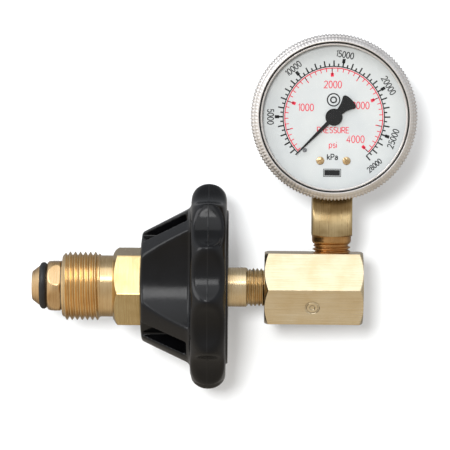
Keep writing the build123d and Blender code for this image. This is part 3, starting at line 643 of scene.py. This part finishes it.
def dress(node, material):
    """Give a CAD node a better finish in every material slot it has."""
    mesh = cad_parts[node].data
    if not mesh.materials:
        mesh.materials.append(material)
    for slot in range(len(mesh.materials)):
        mesh.materials[slot] = material


dress("dial", enamel("white_dial_enamel", "c9c9c6", "c0c1c0", 0.35))
PRINT_Y = -12.02
ZERO_ANGLE = 230.0
REST_ANGLE = 225.3
PSI_TURN = 274.8 / 4000
KPA_TURN = 279.4 / 28000


def on_dial(radius, angle_deg, sideways=0.0):
    """Points in the dial plane at a radius and angle, moved sideways along the tangent."""
    a = np.radians(angle_deg)
    x = radius * np.cos(a) - sideways * np.sin(a)
    z = radius * np.sin(a) + sideways * np.cos(a)
    return np.stack(np.broadcast_arrays(GX + x, PRINT_Y, GZ + z), axis=-1)


def arc_band(inner, outer, start, end, steps=160):
    """A flat band between two radii and two angles."""
    angle = np.linspace(start, end, steps)
    points = np.stack([on_dial(inner, angle), on_dial(outer, angle)], axis=1).reshape(-1, 3)
    k = np.arange(steps - 1)[:, None] * 2
    return points, k + np.array([[0, 1, 3, 2]])


def marks(angles, inner, outer, width):
    """One flat bar from the inner to the outer radius at each angle."""
    angles = np.asarray(angles, float)
    corners = [on_dial(inner, angles, -width / 2), on_dial(outer, angles, -width / 2),
               on_dial(outer, angles, width / 2), on_dial(inner, angles, width / 2)]
    points = np.stack(corners, axis=1).reshape(-1, 3)
    return points, np.arange(len(angles))[:, None] * 4 + np.array([[0, 1, 2, 3]])


def bow(x, y, rx, ry, start, end, steps=14):
    """Points along part of an ellipse, from one angle to another."""
    angle = np.radians(np.linspace(start, end, steps))
    return [(x + rx * math.cos(a), y + ry * math.sin(a)) for a in angle]


TOP_BOWL = bow(0.3, 0.74, 0.25, 0.26, 90, -90)
GLYPHS = {
    "0": [bow(0.27, 0.5, 0.27, 0.5, 90, -270, 25)],
    "1": [[(0.02, 0.8), (0.2, 1.0), (0.2, 0.0)]],
    "2": [bow(0.27, 0.73, 0.26, 0.27, 165, -38) + [(0.0, 0.0), (0.54, 0.0)]],
    "3": [bow(0.26, 0.76, 0.25, 0.24, 155, -80) + bow(0.26, 0.27, 0.28, 0.27, 80, -155)],
    "4": [[(0.4, 0.0), (0.4, 1.0), (0.0, 0.27), (0.56, 0.27)]],
    "5": [[(0.5, 1.0), (0.1, 1.0), (0.06, 0.5)] + bow(0.26, 0.31, 0.27, 0.31, 125, -150)],
    "8": [bow(0.27, 0.76, 0.23, 0.24, 90, -270, 21), bow(0.27, 0.26, 0.27, 0.26, 90, -270, 21)],
    "k": [[(0.0, 0.0), (0.0, 1.0)], [(0.42, 0.66), (0.0, 0.28)], [(0.14, 0.4), (0.46, 0.0)]],
    "P": [[(0.0, 0.0), (0.0, 1.0)] + TOP_BOWL + [(0.0, 0.48)]],
    "R": [[(0.0, 0.0), (0.0, 1.0)] + TOP_BOWL + [(0.0, 0.48)], [(0.28, 0.48), (0.55, 0.0)]],
    "E": [[(0.48, 1.0), (0.0, 1.0), (0.0, 0.0), (0.5, 0.0)], [(0.0, 0.53), (0.42, 0.53)]],
    "S": [bow(0.26, 0.76, 0.24, 0.24, 30, 262) + bow(0.25, 0.26, 0.26, 0.26, 84, -150)],
    "U": [[(0.0, 1.0)] + bow(0.26, 0.28, 0.26, 0.28, 180, 360) + [(0.52, 1.0)]],
    "a": [bow(0.22, 0.5, 0.2, 0.18, 160, 0) + [(0.42, 0.0)],
          [(0.42, 0.4)] + bow(0.2, 0.2, 0.2, 0.2, 90, 270) + [(0.42, 0.12)]],
    "p": [[(0.0, -0.3), (0.0, 0.68)], bow(0.23, 0.34, 0.23, 0.34, 180, -180, 21)],
    "s": [bow(0.2, 0.51, 0.18, 0.17, 20, 262) + bow(0.2, 0.17, 0.2, 0.17, 84, -150)],
    "i": [[(0.0, 0.0), (0.0, 0.68)], [(0.0, 0.88), (0.0, 1.0)]],
}


def stroke(path, width):
    """A flat band of one width along a path, its corners mitred."""
    p = np.asarray(path, float)
    step = np.diff(p, axis=0)
    keep = np.append(True, np.hypot(*step.T) > 1e-6)
    p = p[keep]
    step = np.diff(p, axis=0)
    step /= np.hypot(*step.T)[:, None]
    normal = np.stack([-step[:, 1], step[:, 0]], axis=1)
    first, last = np.vstack([normal[:1], normal]), np.vstack([normal, normal[-1:]])
    if np.hypot(*(p[0] - p[-1])) < 1e-6:
        first[0] = normal[-1]
        last[-1] = normal[0]
    mitre = first + last
    mitre /= np.maximum(0.35, (mitre * first).sum(1))[:, None]
    points = np.stack([p + mitre * width / 2, p - mitre * width / 2], axis=1).reshape(-1, 2)
    k = np.arange(len(p) - 1)[:, None] * 2
    return points, k + np.array([[0, 1, 3, 2]])


LETTER_GAP = 0.2
FILM_STEP = 0.001


def lettering(words, height, at, turn_deg=0.0, width=0.22, squeeze=1.0):
    """Single-line letters or digits as flat bands: height in millimetres, centred on a dial point.

    Each band lies a thousandth of a millimetre in front of the last, so that none share a plane.
    """
    bands, pen = [], 0.0
    for letter in words:
        strokes = GLYPHS[letter]
        for path in strokes:
            bands.append(stroke([((pen + x) * height * squeeze, y * height) for x, y in path], width))
        pen += max(x for path in strokes for x, _ in path) + LETTER_GAP
    middle = (pen - LETTER_GAP) * height * squeeze / 2
    points, faces, first = [], [], 0
    for number, (band, quads) in enumerate(bands):
        points.append(np.column_stack([band, np.full(len(band), PRINT_Y - FILM_STEP * number)]))
        faces.append(quads + first)
        first += len(band)
    points = np.concatenate(points)
    a = math.radians(turn_deg)
    x = points[:, 0] - middle
    z = points[:, 1] - height / 2
    flat = np.stack([GX + at[0] + x * math.cos(a) - z * math.sin(a), points[:, 2],
                     GZ + at[1] + x * math.sin(a) + z * math.cos(a)], axis=1)
    return flat, np.concatenate(faces)


def printed(name, parts, material):
    """Flat ink shapes joined into one thin piece that lies on the dial."""
    points, faces, first = [], [], 0
    for p, f in parts:
        points.append(np.asarray(p, float).reshape(-1, 3))
        faces += [tuple(int(i) + first for i in face) for face in f]
        first += len(points[-1])
    mesh = bpy.data.meshes.new(name)
    mesh.from_pydata((np.concatenate(points) * MM).tolist(), [], faces)
    shape = bmesh.new()
    shape.from_mesh(mesh)
    for face in shape.faces:
        face.normal_update()
        if face.normal.y > 0:
            face.normal_flip()
    shape.to_mesh(mesh)
    shape.free()
    mesh.materials.append(material)
    film = bpy.data.objects.new(name, mesh)
    bpy.context.scene.collection.objects.link(film)
    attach(film, HELD)


def ink(name, code, worn):
    """Screen-printed ink: flat colour, thinner in places, with a soft gloss."""
    material, tree = start_material(name)
    thin = stretched(tree, (0.5, 0.5, 0.5), detail=4.0)
    tone = between(tree, thin, linear(worn), linear(code), 0.25, 0.45)
    shader = add(tree, "ShaderNodeBsdfPrincipled", Base_Color=tone, IOR=1.5,
                 Roughness=ranged(tree, thin, 0.4, 0.5))
    add(tree, "ShaderNodeOutputMaterial", Surface=shader.outputs["BSDF"])
    return material


def kpa(value):
    """Angle on the dial of an outer scale value."""
    return ZERO_ANGLE - KPA_TURN * np.asarray(value, float)


def psi(value):
    """Angle on the dial of an inner scale value."""
    return ZERO_ANGLE - PSI_TURN * np.asarray(value, float)


outer = [arc_band(17.72, 18.08, REST_ANGLE, kpa(28000)),
         marks(kpa(np.arange(500, 28001, 500)), 17.9, 18.95, 0.48),
         marks(kpa(np.arange(1000, 28001, 1000)), 17.9, 20.0, 0.5),
         marks(kpa(np.arange(5000, 25001, 5000)), 19.3, 20.85, 1.1),
         lettering("kPa", 1.95, (-0.35, -14.1), width=0.36)]
NUMBER_R = 22.35
for value in (5000, 10000, 15000, 20000, 25000, 28000):
    angle = float(kpa(value))
    spot = (NUMBER_R * math.cos(math.radians(angle)), NUMBER_R * math.sin(math.radians(angle)))
    upright = angle + 90 if value in (5000, 25000, 28000) else angle - 90
    high = 1.8 if value == 28000 else 2.15
    outer.append(lettering(str(value), high, spot, upright, width=0.33, squeeze=0.9))


def bar(x, z, wide, high):
    """A flat rectangle on the dial, by its middle and its sides."""
    across = np.array([-wide, wide, wide, -wide]) / 2
    up = np.array([-high, -high, high, high]) / 2
    return np.stack([GX + x + across, np.full(4, PRINT_Y), GZ + z + up], 1), np.array([[0, 1, 2, 3]])


MARK_AT = (-0.15, 6.1)
outer += [bar(-0.4, -19.7, 5.5, 2.0), bar(-0.4, -18.4, 6.3, 0.22), bar(-0.4, -21.0, 6.3, 0.22),
          bar(-3.45, -19.7, 0.22, 2.6), bar(2.65, -19.7, 0.22, 2.6)]
round_mark = [arc_band(1.95, 2.4, 0, 360, 60), arc_band(0.75, 1.25, 0, 360, 40)]
outer += [(band + np.array([MARK_AT[0], 0.0, MARK_AT[1]]), faces) for band, faces in round_mark]
printed("dial_print_black", outer, ink("black_dial_ink", "08080a", "141416"))
inner = [arc_band(17.15, 17.5, REST_ANGLE, psi(4000)),
         marks(psi(np.arange(100, 4001, 100)), 16.03, 17.35, 0.3),
         marks(psi(np.arange(500, 4001, 500)), 14.97, 17.35, 0.34),
         marks(psi(np.arange(1000, 4001, 1000)), 14.3, 15.6, 1.1),
         lettering("psi", 2.05, (-0.25, -9.8), width=0.26),
         lettering("PRESSURE", 2.0, (-0.2, -4.6), width=0.28)]
for value, spot in ((1000, (-9.86, 3.35)), (2000, (-0.42, 11.5)), (3000, (9.4, 4.2)),
                    (4000, (7.75, -7.75))):
    inner.append(lettering(str(value), 2.45, spot, width=0.3, squeeze=0.9))
printed("dial_print_red", inner, ink("red_dial_ink", "d81f3c", "dd4a5e"))


# The pointer is stamped aluminium painted satin black, as are its hub and spindle. The two dial
# screws are small slotted brass screws. The movement behind the dial is brass on steel pins.
pointer_paint = enamel("satin_black_pointer_paint", "0c0c0d", "070708", 0.35)
for node in ("pointer_blade", "pointer_hub", "pinion_spindle"):
    dress(node, pointer_paint)
screw_brass = machined_brass("turned_brass_screws", "fbe0b4", "e8c28c", (0.2, 6.0, 0.2), 0.18, 0.01)


SCREW_COLUMNS = 96
SCREW_HIGH = 0.68
SLOT_FLOOR = 0.15
SLOT_HALF = 0.2


def screw_head(x, z, radius, slot_turn):
    """A low domed head: its height falls with the square of the radius and is cut by a slot."""
    r = np.concatenate([np.linspace(0, radius * 0.93, 26), [radius * 0.98, radius, radius]])[:, None]
    angle = even_columns(SCREW_COLUMNS)[None, :]
    high = SCREW_HIGH * (1 - 0.75 * (r / radius) ** 2)
    high = np.where(r > radius * 0.95, high * 0.8, high)
    high[-1] = 0.0
    off = np.abs(r * np.sin(angle - math.radians(slot_turn)))
    slotted = np.minimum(high, SLOT_FLOOR + np.clip((off - SLOT_HALF) / 0.08, 0, 1) * 0.5)
    high = np.where(r < radius * 0.97, slotted, high)
    points = np.stack([GX + x + r * np.cos(angle), PRINT_Y - high, GZ + z + r * np.sin(angle)], axis=-1)
    return points, grid_faces(len(r), SCREW_COLUMNS)


piece("dial_screw_heads", [screw_head(x, -15.45, 1.45, turn) for x, turn in ((-4.65, 35.0), (4.65, -50.0))],
      "dial_screws", screw_brass)
for node in ("plate_screws", "movement_screws", "dial_posts", "hairspring_collet", "tube_tip",
             "socket_restrictor", "movement_pillars", "link", "sector_gear", "movement_bottom_plate",
             "movement_top_plate", "bourdon_tube", "hairspring"):
    dress(node, screw_brass)
dress("inlet_filter", machined_brass("sintered_bronze_filter", "9a6f3c", "6b4822", (0.25, 0.25, 0.25),
                                     0.5, 0.08))
spring_steel = satin_steel("bright_spring_steel", "c9c9cc", "8e8e92", 0.25, (0.3, 0.3, 0.3), 0.008)
for node in ("case_screws", "filter_retaining_ring", "wheel_retaining_ring", "stop_pin", "sector_arbor"):
    dress(node, spring_steel)
plug_rubber = rubber("black_rubber_plug_and_gasket", "131313", 0.5, 0.3)
for node in ("blowout_plug", "window_gasket"):
    dress(node, plug_rubber)


# The washer behind the collar is stamped from white nylon sheet, dirty at its edge. Its colour here is a
# dark brown-grey, painted shade of the narrow gap it sits in, mottled by dirt.
def nylon(name):
    """Nylon with painted shade: dark brown-grey for the shaded gap it sits in, waxy, slightly soiled."""
    material, tree = start_material(name)
    dirt_and_gap_shade = stretched(tree, (1.5, 1.5, 1.5), detail=4.0)
    # Both tones are dark as painted shade of the gap between collar and nut; the noise between them is
    # dirt.
    tone = between(tree, dirt_and_gap_shade, linear("5a4c38"), linear("8a7a5e"))
    shader = add(tree, "ShaderNodeBsdfPrincipled", Base_Color=tone, IOR=1.53,
                 Roughness=ranged(tree, dirt_and_gap_shade, 0.4, 0.55))
    add(tree, "ShaderNodeOutputMaterial", Surface=shader.outputs["BSDF"])
    return material


dress("thrust_washer", nylon("nylon_washer_painted_gap_shade"))


# The window is a flat disc of clear polycarbonate, seen only by its reflections. Only its outer
# faces reflect, because light that leaves the sheet isn't bent here and would be turned back.
def clear_sheet(name):
    """Clear polished plastic sheet: light passes straight through, a little is reflected."""
    material, tree = start_material(name)
    smear = stretched(tree, (8.0, 8.0, 8.0), detail=4.0)
    through = add(tree, "ShaderNodeBsdfTransparent", Color=(0.97, 0.98, 0.985, 1.0))
    shine = add(tree, "ShaderNodeBsdfGlossy", Color=(1, 1, 1, 1), Roughness=ranged(tree, smear, 0.01, 0.05))
    edge = add(tree, "ShaderNodeFresnel", IOR=1.3)
    side = add(tree, "ShaderNodeNewGeometry")
    outer = add(tree, "ShaderNodeMath", {"operation": "SUBTRACT"}, i0=1.0, i1=side.outputs["Backfacing"])
    glance = add(tree, "ShaderNodeMath", {"operation": "MULTIPLY"}, i0=edge.outputs[0], i1=outer.outputs[0])
    mix = add(tree, "ShaderNodeMixShader", i0=glance.outputs[0], i1=through.outputs[0], i2=shine.outputs[0])
    add(tree, "ShaderNodeOutputMaterial", Surface=mix.outputs[0])
    return material


dress("window", clear_sheet("clear_polycarbonate_window"))


# The stage is the white backlit sheet that the object lies on. It stands upright behind the object,
# and its back face is clear, so views from behind pass through it.
STAGE_MIDDLE = (70.0, 20.0)


def backdrop(name, y_mm, half_mm):
    """A flat upright sheet behind the object."""
    corners = np.array([(-1, -1), (1, -1), (1, 1), (-1, 1)]) * half_mm + STAGE_MIDDLE
    points = np.stack([corners[:, 0], np.full(4, y_mm), corners[:, 1]], axis=1) * MM
    mesh = bpy.data.meshes.new(name)
    mesh.from_pydata(points.tolist(), [], [(0, 1, 2, 3)])
    sheet = bpy.data.objects.new(name, mesh)
    bpy.context.scene.collection.objects.link(sheet)
    material, tree = start_material("backlit_white_acrylic_sheet")
    paper = stretched(tree, (40.0, 40.0, 40.0), detail=3.0)
    white = between(tree, paper, linear("dcdedf"), linear("e2e4e5"))
    matt = add(tree, "ShaderNodeBsdfDiffuse", Color=white)
    lit = add(tree, "ShaderNodeEmission", Color=linear("fbfcff"), Strength=ranged(tree, paper, 0.12, 0.14))
    both = add(tree, "ShaderNodeAddShader", i0=matt.outputs[0], i1=lit.outputs[0])
    gone = add(tree, "ShaderNodeBsdfTransparent")
    side = add(tree, "ShaderNodeNewGeometry")
    mix = add(tree, "ShaderNodeMixShader", i0=side.outputs["Backfacing"], i1=both.outputs[0],
              i2=gone.outputs[0])
    add(tree, "ShaderNodeOutputMaterial", Surface=mix.outputs[0])
    mesh.materials.append(material)
    sheet.visible_glossy = False


backdrop("acrylic_backdrop", 39.0, 2500.0)


# The light is a pale room that is brighter above and to the left, and four soft boxes: the key in
# front, one for glints above it, and two near the object.
LIT_POINT = (70.0, 0.0, 25.0)


def soft_box(name, place_mm, size_mm, power, glints=True):
    """A square area light aimed at the middle of the object, with or without its own reflection."""
    lamp = bpy.data.lights.new(name, "AREA")
    lamp.size = size_mm * MM
    lamp.energy = power
    thing = bpy.data.objects.new(name, lamp)
    thing.location = [c * MM for c in place_mm]
    aim = np.array(LIT_POINT) - np.array(place_mm)
    thing.rotation_mode = "QUATERNION"
    thing.rotation_quaternion = Vector(aim).to_track_quat("-Z", "Y")
    thing.visible_glossy = glints
    bpy.context.scene.collection.objects.link(thing)


soft_box("key_box", (-90, -1450, 225), 190, 17.0, glints=False)
soft_box("glint_box", (-60, -1100, 690), 300, 1.5)
soft_box("left_box", (-390, -330, 395), 400, 1.2)
soft_box("top_box", (40, -360, 560), 460, 0.5)

world = bpy.data.worlds.new("pale_room")
bpy.context.scene.world = world
world.use_nodes = True
room = world.node_tree
room.nodes.clear()
way = add(room, "ShaderNodeTexCoord")
parts = add(room, "ShaderNodeSeparateXYZ", Vector=way.outputs["Generated"])
height = ranged(room, parts.outputs["Z"], 0.64, 1.0, -0.9, 0.5)
zenith = ranged(room, parts.outputs["Z"], 1.0, 0.5, 0.75, 0.98)
front = ranged(room, parts.outputs["Y"], 0.72, 1.0, -0.97, -0.6)
back = ranged(room, parts.outputs["Y"], 1.0, 0.4, 0.0, 0.7)
side = ranged(room, parts.outputs["X"], 1.2, 0.8, -0.8, 0.5)
strength = height
for part in (front, back, side, zenith):
    strength = add(room, "ShaderNodeMath", {"operation": "MULTIPLY"}, i0=strength, i1=part).outputs[0]
climb = ranged(room, parts.outputs["Z"], 0.0, 1.0, -0.8, 0.6)
tone = between(room, climb, linear("fff3e2"), linear("f4f8ff"), 0.0, 1.0)
glow = add(room, "ShaderNodeBackground", Color=tone, Strength=strength)
add(room, "ShaderNodeOutputWorld", Surface=glow.outputs[0])

# The camera looks along +Y from one metre, three degrees above the nipple and a hair out of level.
# The lens is shifted so that its axis passes a little right of the middle.
AIM = (75.0, 0.0, 21.7)
DISTANCE = 1000.0
FRAME_WIDTH = 161.3
SENSOR = 36.0
LIFT = math.radians(3.0)
ROLL = math.radians(0.5)
lens = bpy.data.cameras.new("camera")
lens.sensor_width = SENSOR
lens.lens = SENSOR * DISTANCE / FRAME_WIDTH
lens.shift_x = -0.0378
lens.shift_y = 0.0038
camera = bpy.data.objects.new("camera", lens)
eye = (AIM[0], AIM[1] - DISTANCE * math.cos(LIFT), AIM[2] + DISTANCE * math.sin(LIFT))
camera.location = [c * MM for c in eye]
camera.rotation_mode = "QUATERNION"
camera.rotation_quaternion = Quaternion((1, 0, 0), math.pi / 2 - LIFT) @ Quaternion((0, 0, 1), ROLL)
bpy.context.scene.collection.objects.link(camera)
bpy.context.scene.camera = camera
bpy.context.scene.view_settings.view_transform = "Standard"
